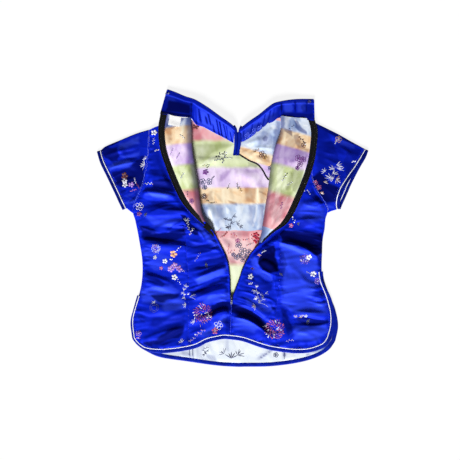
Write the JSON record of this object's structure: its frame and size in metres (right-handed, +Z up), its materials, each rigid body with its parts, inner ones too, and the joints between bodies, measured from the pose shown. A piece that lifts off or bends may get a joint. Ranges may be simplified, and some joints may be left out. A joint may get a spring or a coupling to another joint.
{
  "type": "ao dai top",
  "caption": "Short-sleeved stand-collar ao dai top in blue satin brocade, laid flat front down, its back zip open and both back edges folded out to show the striped lining.",
  "frame": {"origin": "middle of the laid garment's outline, on the surface it lies on", "axes": "+Z up from the surface, +Y from the hem towards the collar, +X to the right seen from above"},
  "size_m": [0.6254, 0.6396, 0.0147],
  "materials": {
    "satin": "royal blue satin brocade with small flowers",
    "lining": "pale striped brocade",
    "binding": "dark blue satin binding",
    "piping": "white satin piping",
    "tape": "black woven zip tape",
    "label": "plain white woven label",
    "metal": "dark grey lacquered metal"
  },
  "bodies": {
    "garment": {"back_left": "satin", "back_right": "satin", "back_lining_left": "lining", "back_lining_right": "lining", "back_hem_piping": "piping", "back_hem_binding": "binding", "front_shell": "satin", "front_lining": "lining", "front_hem_binding": "binding", "front_underlap": "lining", "underlap_edge": "binding", "closure_tab": "binding", "sleeve_left": "satin", "sleeve_right": "satin", "cuff_piping_left": "piping", "cuff_piping_right": "piping", "cuff_binding_left": "binding", "cuff_binding_right": "binding", "collar_left": "satin", "collar_right": "satin", "collar_edge_left": "binding", "collar_edge_right": "binding", "zip_tape_left": "tape", "zip_tape_right": "tape", "zip_slider": "metal", "neck_label": "label", "collar_hook": "metal", "collar_eye": "metal"},
    "pull": {"zip_pull": "metal"}
  },
  "joints": [
    {"name": "pull_swing", "type": "hinge", "parent": "garment", "child": "pull", "pos_m": [-0.00274, -0.16143, 0.0079], "axis": [-1, 0, 0], "range_deg": [0, 165]}
  ]
}
